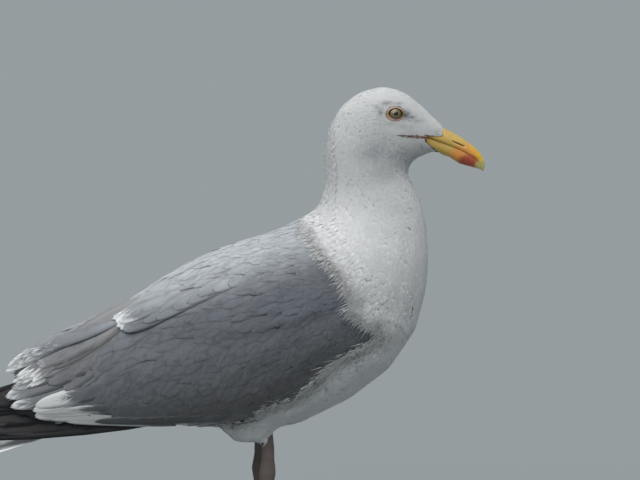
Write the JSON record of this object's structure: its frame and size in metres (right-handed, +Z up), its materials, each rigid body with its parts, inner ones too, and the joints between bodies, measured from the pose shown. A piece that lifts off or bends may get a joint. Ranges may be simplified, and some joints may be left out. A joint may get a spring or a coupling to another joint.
{
  "type": "herring gull",
  "caption": "Adult herring gull standing at rest with folded wings: still, life-size museum model with white body, grey back and black wing tips.",
  "frame": {"origin": "on the floor, under the middle of the bird's box", "axes": "+X forward along the bill, +Y to the bird's left, +Z up"},
  "size_m": [0.5022, 0.1516, 0.4064],
  "materials": {
    "white_plumage": "soft white body feathers",
    "grey_plumage": "smooth blue-grey back and wing feathers, some worn to brown-grey",
    "black_plumage": "sooty black flight feathers with white tips",
    "tail_plumage": "white tail feathers",
    "bill": "yellow horn with a red-orange spot and an ivory tip",
    "eye": "pale yellow iris, wet and glossy",
    "leg_skin": "dull pink scaled skin",
    "claw": "dark horn"
  },
  "bodies": {
    "root": {"head": "white_plumage", "neck": "white_plumage", "trunk": "white_plumage", "mantle": "grey_plumage", "tail": "tail_plumage", "bill_upper": "bill", "bill_lower": "bill", "wing_left": "grey_plumage", "tertials_left": "grey_plumage", "primaries_left": "black_plumage", "eye_left": "eye", "thigh_left": "white_plumage", "shin_left": "leg_skin", "tarsus_left": "leg_skin", "foot_left": "leg_skin", "hind_toe_left": "leg_skin", "claw_inner_left": "claw", "claw_middle_left": "claw", "claw_outer_left": "claw", "wing_right": "grey_plumage", "tertials_right": "grey_plumage", "primaries_right": "black_plumage", "eye_right": "eye", "thigh_right": "white_plumage", "shin_right": "leg_skin", "tarsus_right": "leg_skin", "foot_right": "leg_skin", "hind_toe_right": "leg_skin", "claw_inner_right": "claw", "claw_middle_right": "claw", "claw_outer_right": "claw"}
  },
  "joints": []
}
